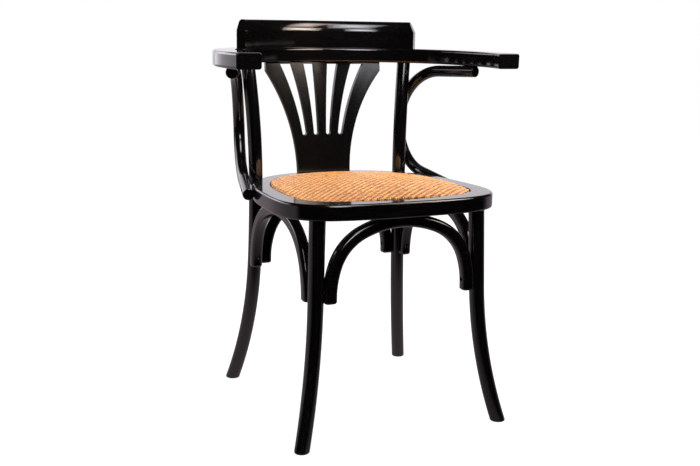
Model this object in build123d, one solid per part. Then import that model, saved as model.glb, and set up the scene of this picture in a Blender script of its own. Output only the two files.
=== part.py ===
from build123d import *
import math
import os

# Bentwood captain's armchair with a woven seat panel.
# Millimetres and degrees. X is across the chair, Y points to its back, Z is up from the floor.
# Until the last lines, Y is measured from the widest line of the seat ring.

# Seat ring
seat_height = 455.0
ring_thickness = 30.0
ring_half_width = 220.0
ring_front_reach = 196.0
ring_back_reach = 246.0
ring_front_fullness = 3.6
ring_back_fullness = 2.45
ring_rear_narrowing = 0.06
ring_edge_round = 4.0
rim_width = 35.0
rim_inner_round = 1.5
ledge_width = 36.0
rebate_depth = 16.0

# Woven seat panel: board, pad and cover
board_thickness = 9.0
cover_thickness = 2.6
cover_crown = 13.0
cover_crown_radius = 1750.0
cover_edge_round = 5.0
panel_clearance = 0.6
layer_clearance = 0.3

# Front legs, placed on the ring by an angle round it and an inset
front_leg_angle = -49.6
front_leg_inset = 19.0
front_foot_out_x = 44.0
front_foot_out_y = -38.0
front_leg_lean = 2.2
front_leg_top_diameter = 31.0
front_leg_foot_diameter = 28.5
leg_bend_height = 273.0
leg_tenon_diameter = 20.0
leg_tenon_length = 18.0
foot_round = 2.5

# Rear posts, one piece from the floor to the back rail, let into the outside of the ring
post_diameter = 29.0
post_angle = 44.8
post_housing = 2.4
post_top_out_x = 12.5
post_top_out_y = 11.3
post_foot_out_x = 38.6
post_foot_out_y = 60.6
rear_leg_lean = 3.5
post_tenon_diameter = 18.0
post_tenon_length = 16.0

# Arched braces
arch_thickness = 25.0
arch_width = 23.0
arch_corner_round = 8.0
arch_end_round = 5.0
arch_top_radius = 192.0
arch_top_angle = 25.0
arch_lower_radius = 180.0
arch_shoulder_end_angle = 71.0
arch_foot_drop = 157.0
arch_let_in = 2.0
arch_set_out = 5.5
arch_screw_rise = 22.0
arch_seat_screw_offset = 25.0

# Horseshoe arm rail: back rail and two arms
rail_rise = 239.0
rail_width = 46.5
rail_thickness = 30.2
rail_edge_round = 5.0
rail_tilt = 1.05
rail_back_radius = 322.0
rail_back_angle = 38.0
rail_shoulder_radius = 172.0
rail_shoulder_angle = 66.0
arm_radius = 328.0
arm_front_y = -84.0
arm_end_round = 1.2
arm_joint_angle = 59.0
arm_joint_slant = 30.0
arm_dowel_diameter = 8.0
arm_dowel_length = 40.0
arm_dowel_spacing = 20.0

# Crest board
crest_thickness = 21.0
crest_height = 57.0
crest_half_angle = 38.0
crest_brow_depth = 13.0
crest_brow_height = 24.0
crest_back_round = 6.0
crest_corner_run = 11.0
crest_corner_drop = 22.0
crest_dowel_diameter = 10.0
crest_dowel_length = 32.0
crest_dowel_angles = (-28.0, -10.0, 10.0, 28.0)

# Back splat
splat_thickness = 10.0
splat_radius = 420.0
splat_foot_inset = 15.0
splat_top_inset = 5.0
splat_top_half_width = 132.5
splat_foot_half_width = 61.0
splat_ear = 19.5
splat_tenon = 9.0
slot_top_drop = 5.0
slot_foot_rise = 82.0
slot_foot_width = 11.0
slot_foot_centres = (14.4, 42.2)
slot_top_centres = (27.8, 83.0)
slot_top_widths = (24.2, 27.7)
slot_bow = 0.126

# Arm bows
bow_diameter = 24.0
bow_arm_y = 36.0
bow_arm_inset = 10.1
bow_ring_y = 69.7
bow_ring_drop = 15.3
bow_upper_rise = 220.0
bow_upper_offset = (9.4, 47.0)
bow_upper_radius = 116.0
bow_lower_rise = 16.4
bow_lower_offset = (22.9, 35.6)
bow_lower_radius = 101.7
bow_let_in = 1.0
bow_end_round = 1.5
bow_screw_setback = 22.0

# Fasteners and fits
screw_shank = 4.5
screw_head = 8.5
screw_head_height = 3.0
arch_leg_screw_length = 30.0
arch_seat_screw_length = 33.0
arch_screw_recess = 5.0
bow_screw_length = 38.0
bow_screw_recess = 3.0
board_screw_length = 19.0
board_screw_recess = 2.0
board_screw_angles = (40.0, 140.0, 215.0, 325.0)
bolt_shank = 7.0
bolt_head = 15.0
bolt_head_height = 4.5
bolt_length = 58.0
bolt_rise = 12.0
bolt_sink = 3.0
screw_fit = 0.15
housing_fit = 0.1
dowel_fit = 0.1
tenon_fit = 0.15
tenon_end_gap = 1.0

# Sizes that follow from those above
ring_underside = seat_height - ring_thickness
ledge_top = seat_height - rebate_depth
board_top = ledge_top + board_thickness
cover_inset = rim_width + panel_clearance
inner_inset = cover_inset + cover_thickness + layer_clearance
panel_centre_y = (ring_back_reach - ring_front_reach) / 2
crown_top = seat_height + cover_crown
post_radius = post_diameter / 2
bow_radius = bow_diameter / 2
arch_apex = ring_underside + arch_let_in - arch_thickness / 2
arch_foot_height = ring_underside - arch_foot_drop
arch_meet_height = arch_foot_height + arch_screw_rise
rail_height = seat_height + rail_rise
crest_top = rail_thickness + crest_height
outline_points = 48
far = 1000.0


def seat_point(angle, inset):
    """Point of the seat outline at an angle round it, set in from the outer edge."""
    cosine = math.cos(math.radians(angle))
    sine = math.sin(math.radians(angle))
    fullness = ring_back_fullness if sine > 0 else ring_front_fullness
    reach = ring_back_reach if sine > 0 else ring_front_reach
    x = (ring_half_width - inset) * math.copysign(abs(cosine) ** (2 / fullness), cosine)
    y = (reach - inset) * math.copysign(abs(sine) ** (2 / fullness), sine)
    return Vector(x * (1 - ring_rear_narrowing * y / reach), y)


def seat_normal(angle):
    """Level direction that points straight out of the ring's side."""
    step = 0.1
    along_edge = seat_point(angle + step, 0) - seat_point(angle - step, 0)
    return Vector(along_edge.Y, -along_edge.X).normalized()


def seat_outline(inset):
    """Closed superellipse outline of the seat as a face."""
    points = [seat_point(360 * step / outline_points, inset) for step in range(outline_points)]
    return make_face(Spline(*points, periodic=True))


def seat_slab(inset, bottom, top):
    """Flat slab with the seat's outline between two heights."""
    return Pos(0, 0, bottom) * extrude(seat_outline(inset), top - bottom)


def ring_side_x(y):
    """Half width of the seat ring at a place along its side."""
    low = 0.0
    high = 90.0
    for _ in range(50):
        middle = (low + high) / 2
        low, high = (middle, high) if seat_point(middle, 0).Y < y else (low, middle)
    return seat_point(low, 0).X


def upright_plane(x, y, towards_x, towards_y):
    """Upright plane through a point, with its first axis level and its second axis up."""
    length = math.hypot(towards_x, towards_y)
    across = (towards_x / length, towards_y / length, 0)
    return Plane(origin=(x, y, 0), x_dir=across, z_dir=(across[1], -across[0], 0))


def upper_end(path):
    """Which end of an upright path is the higher one, 0 or 1."""
    return 0 if (path @ 0).Z > (path @ 1).Z else 1


def round_section(path, end, diameter):
    """Round section at an end of an upright path, with its seam turned to the outer front corner."""
    plane = Plane(origin=path @ end, x_dir=(1, -1, 0), z_dir=path % end)
    return plane * Circle(diameter / 2)


def centre_at_height(path, height):
    """Point of an upright path at a height."""
    upper = upper_end(path)
    lower = 1 - upper
    for _ in range(50):
        middle = (upper + lower) / 2
        upper, lower = (middle, lower) if (path @ middle).Z > height else (upper, middle)
    return path @ upper


def mirrored(shape):
    """The same piece on the other side of the chair."""
    return mirror(shape, about=Plane.YZ)


def both_sides(shapes):
    """Shapes of the right side together with their copies on the left."""
    return [*shapes, *[mirrored(shape) for shape in shapes]]


def mirrored_edges(edges):
    """The left half of an outline whose right half is given."""
    return [mirrored(edge).edge() for edge in edges]


def below(plane, size=far):
    """Block that fills the space on the lower side of a plane."""
    return plane * Pos(0, 0, -size / 2) * Box(size, size, size)


def above(plane, size=far):
    """Block that fills the space on the upper side of a plane."""
    return plane * Pos(0, 0, size / 2) * Box(size, size, size)


def peg(diameter, length):
    """Round peg that stands on the origin."""
    return Cylinder(diameter / 2, length, align=(Align.CENTER, Align.CENTER, Align.MIN))


def round_foot(leg):
    """Cuts a leg at the floor and rounds the edge that stands on it."""
    leg = leg - below(Plane.XY)
    return fillet(leg.edges().group_by(Axis.Z)[0], foot_round)


def along(point, direction):
    """Plane at a point from which a fastener runs along a direction."""
    return Plane(origin=point, z_dir=-Vector(direction))


def screw(length, grow=0.0):
    """Wood screw down from the top of its head at the origin; grow makes it the hole's size."""
    head = Pos(0, 0, -screw_head_height - grow) * peg(screw_head + 2 * grow, screw_head_height + grow)
    return head + Pos(0, 0, -length - grow) * peg(screw_shank + 2 * grow, length)


def screw_hole(length, recess):
    """Hole for a screw whose head lies under the surface."""
    return screw(length, screw_fit) + peg(screw_head + 2 * screw_fit, 2 * recess)


def bolt():
    """Bolt with a round head, down from the top of its head at the origin."""
    head = Pos(0, 0, -bolt_head_height) * peg(bolt_head, bolt_head_height)
    head = fillet(head.edges().group_by(Axis.Z)[-1], bolt_head_height / 2)
    return head + Pos(0, 0, -bolt_length) * peg(bolt_shank, bolt_length - bolt_head_height)


def bolt_hole():
    """Hole for a bolt with a flat seat for its head."""
    seat = Pos(0, 0, -bolt_head_height) * peg(bolt_head + 2 * screw_fit, 2 * bolt_head)
    depth = bolt_length + tenon_end_gap
    return seat + Pos(0, 0, -depth) * peg(bolt_shank + 2 * screw_fit, depth)


# Front legs

front_top = seat_point(front_leg_angle, front_leg_inset)


def front_leg_path():
    """Lean and sabre curve of the right front leg, from inside the ring to under the floor."""
    plane = upright_plane(front_top.X, front_top.Y, front_foot_out_x, front_foot_out_y)
    splay = math.hypot(front_foot_out_x, front_foot_out_y)
    lean = math.tan(math.radians(front_leg_lean))
    top_allowance = front_leg_top_diameter / 2
    start = (-top_allowance * lean, ring_underside + top_allowance)
    bend = ((ring_underside - leg_bend_height) * lean, leg_bend_height)
    upper = Line(start, bend)
    lower = TangentArc(bend, (splay, 0), tangent=upper % 1)
    tip = Line(lower @ 1, (lower @ 1) + (lower % 1) * front_leg_foot_diameter / 2)
    return plane * Wire([upper, lower, tip])


front_path = front_leg_path()


def front_leg_radius(height):
    """Radius of the tapered front leg at a height."""
    share = height / ring_underside
    return (front_leg_foot_diameter + share * (front_leg_top_diameter - front_leg_foot_diameter)) / 2


def front_leg():
    """Tapered bent right leg with a round tenon on top."""
    top = upper_end(front_path)
    sections = [
        round_section(front_path, top, front_leg_top_diameter),
        round_section(front_path, 1 - top, front_leg_foot_diameter),
    ]
    leg = sweep(sections, path=front_path, multisection=True)
    leg = round_foot(leg - above(Plane.XY.offset(ring_underside)))
    return leg + Pos(front_top.X, front_top.Y, ring_underside) * peg(leg_tenon_diameter, leg_tenon_length)


def leg_mortise():
    """Hole in the ring for the right front leg's tenon."""
    hole = peg(leg_tenon_diameter + 2 * tenon_fit, leg_tenon_length + tenon_end_gap)
    return Pos(front_top.X, front_top.Y, ring_underside) * hole


# Rear posts

post_out = seat_normal(post_angle)
post_waist = seat_point(post_angle, 0) + post_out * (post_radius - post_housing)
post_top_x = post_waist.X + post_top_out_x
post_top_y = post_waist.Y + post_top_out_y

rail_plane = Plane(
    origin=(0, post_top_y, rail_height),
    x_dir=(1, 0, 0),
    z_dir=(0, -math.sin(math.radians(rail_tilt)), math.cos(math.radians(rail_tilt))),
)


def rear_post_path():
    """Path of the right rear post: bent out above the seat, leaning and then sabre-curved below it."""
    waist = (0, seat_height)
    upper_plane = upright_plane(post_waist.X, post_waist.Y, post_top_out_x, post_top_out_y)
    upper_end_point = (math.hypot(post_top_out_x, post_top_out_y), rail_height)
    upper = TangentArc(waist, upper_end_point, tangent=(0, 1))
    top = Line(upper @ 1, (upper @ 1) + (upper % 1) * post_radius)
    lower_plane = upright_plane(post_waist.X, post_waist.Y, post_foot_out_x, post_foot_out_y)
    drop = seat_height - leg_bend_height
    bend = (drop * math.tan(math.radians(rear_leg_lean / 2)), leg_bend_height)
    leaning = TangentArc(waist, bend, tangent=(0, -1))
    sabre = TangentArc(bend, (math.hypot(post_foot_out_x, post_foot_out_y), 0), tangent=leaning % 1)
    tip = Line(sabre @ 1, (sabre @ 1) + (sabre % 1) * post_radius)
    above_waist = [upper_plane * edge for edge in (top, upper)]
    below_waist = [lower_plane * edge for edge in (leaning, sabre, tip)]
    return Wire(above_waist + below_waist)


rear_path = rear_post_path()


def rear_post():
    """Bent right post with a round tenon into the back rail."""
    post = sweep(round_section(rear_path, 0, post_diameter), path=rear_path)
    post = round_foot(post - above(rail_plane))
    return post + rail_plane * Pos(post_top_x, 0, 0) * peg(post_tenon_diameter, post_tenon_length)


def bolt_place():
    """Where the right post's bolt starts and which way it runs: through the post into the ring."""
    height = ring_underside + bolt_rise
    reach = post_radius + bolt_head_height - bolt_sink
    start = centre_at_height(rear_path, height) + post_out * reach
    return along(start, -post_out)


# Arm rail

rail_centre_y = -math.sqrt(rail_back_radius**2 - post_top_x**2)
rail_back_y = rail_centre_y + rail_back_radius
joint_overlap = 6.0
arm_turn = 55.0


def turn_on(edge, radius, angle):
    """Arc that carries on smoothly from the end of another, turning to the right."""
    return JernArc(edge @ 1, edge % 1, radius, -angle)


rail_back_arc = JernArc((0, rail_back_y), (1, 0), rail_back_radius, -rail_back_angle)


def shoulder_arc(angle):
    """Shoulder of the rail from the back arc's end to an angle round the horseshoe."""
    return turn_on(rail_back_arc, rail_shoulder_radius, angle - rail_back_angle)


arm_arc = turn_on(shoulder_arc(rail_shoulder_angle), arm_radius, arm_turn)


def rail_sweep(path, outwards):
    """Sweeps the rail's rounded section along a path that lies in its underside."""
    centre = Pos(0, 0, rail_thickness / 2) * path
    section = Plane(origin=centre @ 0, x_dir=outwards, z_dir=centre % 0)
    return sweep(section * RectangleRounded(rail_width, rail_thickness, rail_edge_round), path=centre)


def joint_plane():
    """Slanted plane of the joint between the back rail and the right arm, facing the arm."""
    meeting = shoulder_arc(arm_joint_angle)
    slant = math.radians(arm_joint_slant)
    facing = (meeting % 1) * math.cos(slant) + Vector(0, 0, math.sin(slant))
    return Plane(origin=(meeting @ 1) + Vector(0, 0, rail_thickness / 2), z_dir=facing)


def joint_pegs(diameter, length):
    """The two pegs across the right arm's joint, or their holes."""
    meeting = shoulder_arc(arm_joint_angle)
    axis = meeting % 1
    outwards = Vector(-axis.Y, axis.X)
    middle = (meeting @ 1) + Vector(0, 0, rail_thickness / 2) - axis * (length / 2)
    offsets = (-arm_dowel_spacing / 2, arm_dowel_spacing / 2)
    places = [Plane(origin=middle + outwards * offset, z_dir=axis) for offset in offsets]
    return [place * peg(diameter, length) for place in places]


def back_rail_blank():
    """Middle of the horseshoe between its two joints, in the rail's own plane."""
    right = [rail_back_arc, shoulder_arc(arm_joint_angle + joint_overlap)]
    path = Wire([*reversed(mirrored_edges(right)), *right])
    start = path % 0
    blank = rail_sweep(path, (-start.Y, start.X, 0))
    cutter = above(joint_plane(), size=3 * rail_width)
    return blank - both_sides([cutter])


def arm_blank():
    """Right arm from its joint to its cut-off front end, in the rail's own plane."""
    lead = shoulder_arc(arm_joint_angle - joint_overlap)
    shoulder = turn_on(lead, rail_shoulder_radius, rail_shoulder_angle - arm_joint_angle + joint_overlap)
    path = Wire([shoulder, turn_on(shoulder, arm_radius, arm_turn)])
    start = path % 0
    blank = rail_sweep(path, (-start.Y, start.X, 0)) - below(joint_plane(), size=3 * rail_width)
    front = Plane(origin=(0, arm_front_y - post_top_y, 0), z_dir=(0, 1, 0))
    arm = blank - below(front)
    return fillet(arm.faces().sort_by(Axis.Y)[0].edges(), arm_end_round)


def arm_centre_x(y):
    """Distance of the right arm's centre-line from the middle of the chair."""
    centre = arm_arc.arc_center
    return centre.X + math.sqrt(arm_radius**2 - (y - post_top_y - centre.Y) ** 2)


def rail_underside(y):
    """Height of the rail's underside."""
    return rail_height + (y - post_top_y) * math.tan(math.radians(rail_tilt))


# Crest board, on top of the back rail and round the same centre


def crest_outline():
    """Section of the crest board, whose front eases back to the top as a quarter of an ellipse."""
    front = rail_back_radius - crest_thickness / 2
    back = rail_back_radius + crest_thickness / 2
    brow_centre = (front + crest_brow_depth, crest_top - crest_brow_height)
    brow = EllipticalCenterArc(brow_centre, crest_brow_depth, crest_brow_height, 90, arc_size=90)
    nape = CenterArc((back - crest_back_round, crest_top - crest_back_round), crest_back_round, 0, 90)
    face_line = Line(brow @ 1, (front, rail_thickness))
    foot_line = Line(face_line @ 1, (back, rail_thickness))
    back_line = Line(foot_line @ 1, nape @ 0)
    top_line = Line(nape @ 1, brow @ 0)
    return make_face([brow, face_line, foot_line, back_line, nape, top_line])


def crest_board():
    """Curved board with a rounded top and cut-off top corners, in the rail's own plane."""
    angle = math.radians(crest_half_angle)
    outwards = Vector(math.sin(angle), math.cos(angle))
    forwards = Vector(math.cos(angle), -math.sin(angle))
    section = upright_plane(0, rail_centre_y, outwards.X, outwards.Y) * crest_outline()
    board = revolve(section, Axis((0, rail_centre_y, 0), (0, 0, 1)), 2 * crest_half_angle)
    end = Vector(0, rail_centre_y, crest_top - crest_corner_drop) + outwards * rail_back_radius
    facing = forwards * crest_corner_drop + Vector(0, 0, crest_corner_run)
    corner = above(Plane(origin=end, z_dir=facing), size=3 * crest_height)
    return board - both_sides([corner])


def crest_pegs(diameter, length):
    """Pegs between the crest board and the back rail, or their holes."""
    places = [Rotation(0, 0, -angle) * Pos(0, rail_back_radius, 0) for angle in crest_dowel_angles]
    bottom = Pos(0, rail_centre_y, rail_thickness - length / 2)
    return [bottom * place * peg(diameter, length) for place in places]


# Back splat

splat_foot_y = ring_back_reach - splat_foot_inset
splat_top_y = post_top_y + rail_back_y - splat_top_inset
splat_top_height = rail_underside(splat_top_y)
splat_lean = (splat_top_y - splat_foot_y) / (splat_top_height - seat_height)
slot_top_height = splat_top_height - slot_top_drop


def splat_sheet(thickness, extra):
    """Leaning curved sheet of the splat with its tongues, not yet cut to its outline."""
    bottom = seat_height - splat_tenon - extra
    height = splat_top_height + splat_tenon + extra - bottom
    centre_y = splat_foot_y - splat_radius + splat_lean * (bottom - seat_height)
    rings = Circle(splat_radius + thickness / 2) - Circle(splat_radius - thickness / 2)
    direction = Vector(0, splat_lean, 1)
    return extrude(Pos(0, centre_y, bottom) * rings, height * direction.length, dir=direction)


def front_prism(face):
    """Carries an outline drawn from the front through the back of the chair."""
    return extrude(Plane.XZ * face, -far)


def splat_outline():
    """Fan outline of the splat: upright ears under the rail and a hollow side curve."""
    bottom = seat_height - splat_tenon
    top = splat_top_height + splat_tenon
    ear = splat_top_height - splat_ear
    foot = Line((splat_foot_half_width, bottom), (splat_foot_half_width, seat_height))
    side = TangentArc(foot @ 1, (splat_top_half_width, ear), tangent=(0, 1))
    upright = Line(side @ 1, (splat_top_half_width, top))
    right = [foot, side, upright]
    left = mirrored_edges(right)
    closing = [Line(left[2] @ 1, upright @ 1), Line(foot @ 0, left[0] @ 0)]
    return make_face(right + left + closing)


def slot_edge(foot_x, foot_z, top_x):
    """Hollow edge of a slot from its round foot to its top."""
    middle_x = (foot_x + top_x) / 2 - slot_bow * (top_x - foot_x)
    middle_z = (foot_z + slot_top_height) / 2
    return ThreePointArc((foot_x, foot_z), (middle_x, middle_z), (top_x, slot_top_height))


def slot(foot_centre, top_centre, top_width):
    """One slot of the right half, wider at the top."""
    half_foot = slot_foot_width / 2
    foot_z = seat_height + slot_foot_rise + half_foot
    inner = slot_edge(foot_centre - half_foot, foot_z, top_centre - top_width / 2)
    outer = slot_edge(foot_centre + half_foot, foot_z, top_centre + top_width / 2)
    foot = ThreePointArc(inner @ 0, (foot_centre, foot_z - half_foot), outer @ 0)
    return make_face([inner, Line(inner @ 1, outer @ 1), outer, foot])


def back_splat():
    """Fan-shaped splat with five ribs, its tongues in the ring and in the rail."""
    sheet = splat_sheet(splat_thickness, 0) & front_prism(splat_outline())
    sheet = sheet - above(rail_plane.offset(splat_tenon))
    slots = zip(slot_foot_centres, slot_top_centres, slot_top_widths)
    cutters = [front_prism(slot(*sizes)) for sizes in slots]
    return sheet - both_sides(cutters)


def splat_mortise(half_width):
    """Groove for the splat's tongue, as wide as the tongue and its fit."""
    groove = splat_sheet(splat_thickness + 2 * tenon_fit, tenon_end_gap)
    width = 2 * (half_width + tenon_fit)
    return groove & Pos(0, splat_top_y, rail_height) * Box(width, far / 2, 2 * far)


# Arm bows


def bow_corner(rise, offset):
    """Corner of the right bow's centre-line, beside the post at a height above the seat."""
    return centre_at_height(rear_path, seat_height + rise) + Vector(*offset)


def rounded_corner(before, corner, after, radius):
    """Arc that rounds off the corner between two points."""
    back = (before - corner).normalized()
    onward = (after - corner).normalized()
    half_angle = math.radians(back.get_angle(onward)) / 2
    run = radius / math.tan(half_angle)
    bulge = radius / math.sin(half_angle) - radius
    middle = corner + (back + onward).normalized() * bulge
    return ThreePointArc(corner + back * run, middle, corner + onward * run)


def bow_path():
    """Centre-line of the right bow: back from under the arm, down behind the post and forward to the ring."""
    arm_x = arm_centre_x(bow_arm_y) - bow_arm_inset
    arm_end = Vector(arm_x, bow_arm_y, rail_underside(bow_arm_y) - bow_radius + bow_let_in)
    ring_x = ring_side_x(bow_ring_y) + bow_radius - bow_let_in
    ring_end = Vector(ring_x, bow_ring_y, seat_height - bow_ring_drop)
    upper = bow_corner(bow_upper_rise, bow_upper_offset)
    lower = bow_corner(bow_lower_rise, bow_lower_offset)
    upper_arc = rounded_corner(arm_end, upper, lower, bow_upper_radius)
    lower_arc = rounded_corner(upper, lower, ring_end, bow_lower_radius)
    under_arm = Line(arm_end, upper_arc @ 0)
    behind_post = Line(upper_arc @ 1, lower_arc @ 0)
    to_ring = Line(lower_arc @ 1, ring_end)
    return Wire([under_arm, upper_arc, behind_post, lower_arc, to_ring])


bow_line = bow_path()


def bow_blank():
    """Bent round rod of the right bow before it is let in."""
    rod = sweep((bow_line ^ 0) * Circle(bow_radius), path=bow_line)
    ends = rod.faces().filter_by(GeomType.PLANE)
    return fillet(ends.edges(), bow_end_round)


def bow_screw_places():
    """Planes of the right bow's two screws: up into the arm and sideways into the ring."""
    setback = bow_screw_setback / bow_line.length
    reach = bow_radius - bow_screw_recess
    into_arm = (bow_line @ setback) - Vector(0, 0, reach)
    into_ring = (bow_line @ (1 - setback)) + Vector(reach, 0, 0)
    return [along(into_arm, (0, 0, 1)), along(into_ring, (-1, 0, 0))]


# Arched braces


class Arch:
    """One brace bent between two legs, set out from their middles, up to the underside of the ring.

    It goes round the chair anticlockwise as seen from above.
    """

    def __init__(self, start, start_radius, end, end_radius):
        across = (end - start).normalized()
        near = start + across * start_radius
        far_side = end - across * end_radius
        outwards = Vector(across.Y, -across.X)
        middle = (near + far_side) / 2 + outwards * arch_set_out
        self.across = across
        self.plane = upright_plane(middle.X, middle.Y, across.X, across.Y)
        self.half_span = (far_side - near).length / 2 + arch_let_in - arch_thickness / 2

    def half_path(self):
        """Centre-line from the crown to one foot: top, shoulder and lower arcs, then a straight foot."""
        crown_sine = math.sin(math.radians(arch_top_angle))
        shoulder_sine = math.sin(math.radians(arch_shoulder_end_angle))
        room = self.half_span - arch_top_radius * crown_sine - arch_lower_radius * (1 - shoulder_sine)
        shoulder_radius = room / (shoulder_sine - crown_sine)
        top = JernArc((0, arch_apex), (1, 0), arch_top_radius, -arch_top_angle)
        shoulder = turn_on(top, shoulder_radius, arch_shoulder_end_angle - arch_top_angle)
        lower = turn_on(shoulder, arch_lower_radius, 90 - arch_shoulder_end_angle)
        foot = Line(lower @ 1, (lower @ 1) + Vector(0, -arch_foot_drop))
        return [top, shoulder, lower, foot]

    def blank(self, legs):
        """Bent brace cut off level at its feet, and to fit its legs and the underside of the ring."""
        right = self.half_path()
        path = Wire([*reversed(mirrored_edges(right)), *right])
        section = Plane(origin=path @ 0, x_dir=(0, 0, 1), z_dir=path % 0)
        profile = RectangleRounded(arch_width, arch_thickness, arch_corner_round)
        brace = self.plane * sweep(section * profile, path=path)
        brace = brace - above(Plane.XY.offset(ring_underside)) - below(Plane.XY.offset(arch_foot_height))
        brace = fillet(brace.edges().group_by(Axis.Z)[0], arch_end_round)
        return brace - legs

    def leg_screw_places(self):
        """Planes of the screws from the hollow side of each foot into its leg."""
        height = arch_meet_height
        reach = self.half_span - arch_thickness / 2 + arch_screw_recess
        places = []
        for side in (-1, 1):
            point = self.plane.from_local_coords(Vector(side * reach, height, 0))
            places.append(along(point, self.across * side))
        return places

    def seat_screw_places(self):
        """Planes of the two screws from the hollow side up into the ring."""
        hollow_radius = arch_top_radius - arch_thickness / 2
        drop = arch_top_radius - math.sqrt(hollow_radius**2 - arch_seat_screw_offset**2)
        height = arch_apex - drop + arch_screw_recess
        places = []
        for offset in (-arch_seat_screw_offset, arch_seat_screw_offset):
            point = self.plane.from_local_coords(Vector(offset, height, 0))
            places.append(along(point, (0, 0, 1)))
        return places


def make_arches():
    """The four braces, each between its two legs at the height where they meet."""
    front_right = centre_at_height(front_path, arch_meet_height)
    rear_right = centre_at_height(rear_path, arch_meet_height)
    front_left = Vector(-front_right.X, front_right.Y, front_right.Z)
    rear_left = Vector(-rear_right.X, rear_right.Y, rear_right.Z)
    front_radius = front_leg_radius(arch_meet_height)
    return {
        "front_arch": Arch(front_left, front_radius, front_right, front_radius),
        "rear_arch": Arch(rear_right, post_radius, rear_left, post_radius),
        "left_arch": Arch(rear_left, post_radius, front_left, front_radius),
        "right_arch": Arch(front_right, front_radius, rear_right, post_radius),
    }


# Seat


def ring_blank():
    """Rounded seat ring with the ledge that carries the panel."""
    ring = seat_slab(0, ring_underside, seat_height)
    levels = ring.edges().group_by(Axis.Z)
    ring = fillet(levels[0] + levels[-1], ring_edge_round)
    ring = ring - seat_slab(rim_width, ledge_top, seat_height + rebate_depth)
    ring = ring - seat_slab(rim_width + ledge_width, ring_underside - rebate_depth, seat_height)
    top = ring.faces().filter_by(Axis.Z).sort_by(Axis.Z)[-1]
    return fillet(top.inner_wires()[0].edges(), rim_inner_round)


def crowned(inset, bottom, lowered, edge_round):
    """Panel shape with a shallow domed top, set in and lowered from the outside of the weave."""
    block = seat_slab(inset, bottom, seat_height + rebate_depth + cover_crown)
    dome = Pos(0, panel_centre_y, crown_top - lowered - cover_crown_radius) * Sphere(cover_crown_radius)
    panel = block & dome
    top = panel.faces().sort_by(Axis.Z)[-1]
    return fillet(top.edges(), edge_round)


def rattan_cover():
    """Woven cover as one thin shell, crowned on top and turned down to the ledge."""
    outside = crowned(cover_inset, ledge_top, 0, cover_edge_round)
    inside = crowned(
        cover_inset + cover_thickness, ledge_top, cover_thickness, cover_edge_round - cover_thickness
    )
    return outside - inside


def seat_pad():
    """Thin pad that gives the weave its crown."""
    lowered = cover_thickness + layer_clearance
    return crowned(inner_inset, board_top, lowered, cover_edge_round - cover_thickness)


def seat_board():
    """Flat board on the ring's ledge."""
    return seat_slab(inner_inset, ledge_top, board_top)


def board_screw_places():
    """Planes of the screws up through the ledge into the board."""
    places = []
    for angle in board_screw_angles:
        point = seat_point(angle, rim_width + ledge_width / 2)
        start = Vector(point.X, point.Y, ring_underside + board_screw_recess)
        places.append(along(start, (0, 0, 1)))
    return places


def fastened(places, shape):
    """A shape repeated at each of its places."""
    return [place * shape for place in places]


# Assembly: blanks first, then the holes that join them

ring = ring_blank()
leg = front_leg()
post = rear_post()
arches = make_arches()
all_legs = both_sides([leg, post])
braces = {name: arch.blank(all_legs) for name, arch in arches.items()}
back_rail = rail_plane * back_rail_blank()
arm = rail_plane * arm_blank()
crest = rail_plane * crest_board()
splat = back_splat()
bow = bow_blank() - arm - seat_slab(-housing_fit, ring_underside, seat_height)

leg_screw_places = [place for arch in arches.values() for place in arch.leg_screw_places()]
seat_screw_places = [place for arch in arches.values() for place in arch.seat_screw_places()]
leg_screw_holes = fastened(leg_screw_places, screw_hole(arch_leg_screw_length, arch_screw_recess))
seat_screw_holes = fastened(seat_screw_places, screw_hole(arch_seat_screw_length, arch_screw_recess))
board_screw_holes = fastened(board_screw_places(), screw_hole(board_screw_length, board_screw_recess))
bow_screw_holes = fastened(bow_screw_places(), screw_hole(bow_screw_length, bow_screw_recess))
bolt_drilling = bolt_place() * bolt_hole()
joint_drilling = joint_pegs(arm_dowel_diameter + 2 * dowel_fit, arm_dowel_length + 2 * tenon_end_gap)
joint_holes = [rail_plane * hole for hole in joint_drilling]
crest_drilling = crest_pegs(crest_dowel_diameter + 2 * dowel_fit, crest_dowel_length + 2 * tenon_end_gap)
crest_holes = [rail_plane * hole for hole in crest_drilling]
post_mortise = peg(post_tenon_diameter + 2 * tenon_fit, post_tenon_length + tenon_end_gap)
post_mortise = rail_plane * Pos(post_top_x, 0, 0) * post_mortise

post = post - leg_screw_holes - bolt_drilling
leg = leg - leg_screw_holes
arm = arm - joint_holes - bow_screw_holes[0]
bow = bow - bow_screw_holes
ring = ring - both_sides([leg_mortise(), all_legs[1]])
ring = ring - both_sides([bolt_drilling, bow_screw_holes[1]])
ring = ring - seat_screw_holes - board_screw_holes - splat_mortise(splat_foot_half_width)
braces = {name: brace - leg_screw_holes - seat_screw_holes for name, brace in braces.items()}
back_rail = back_rail - both_sides([*joint_holes, post_mortise])
back_rail = back_rail - crest_holes - splat_mortise(splat_top_half_width)
crest = crest - crest_holes

arm_screw, ring_screw = fastened(bow_screw_places(), screw(bow_screw_length))
joint_dowels = [rail_plane * dowel for dowel in joint_pegs(arm_dowel_diameter, arm_dowel_length)]
crest_dowels = [rail_plane * dowel for dowel in crest_pegs(crest_dowel_diameter, crest_dowel_length)]

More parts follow.
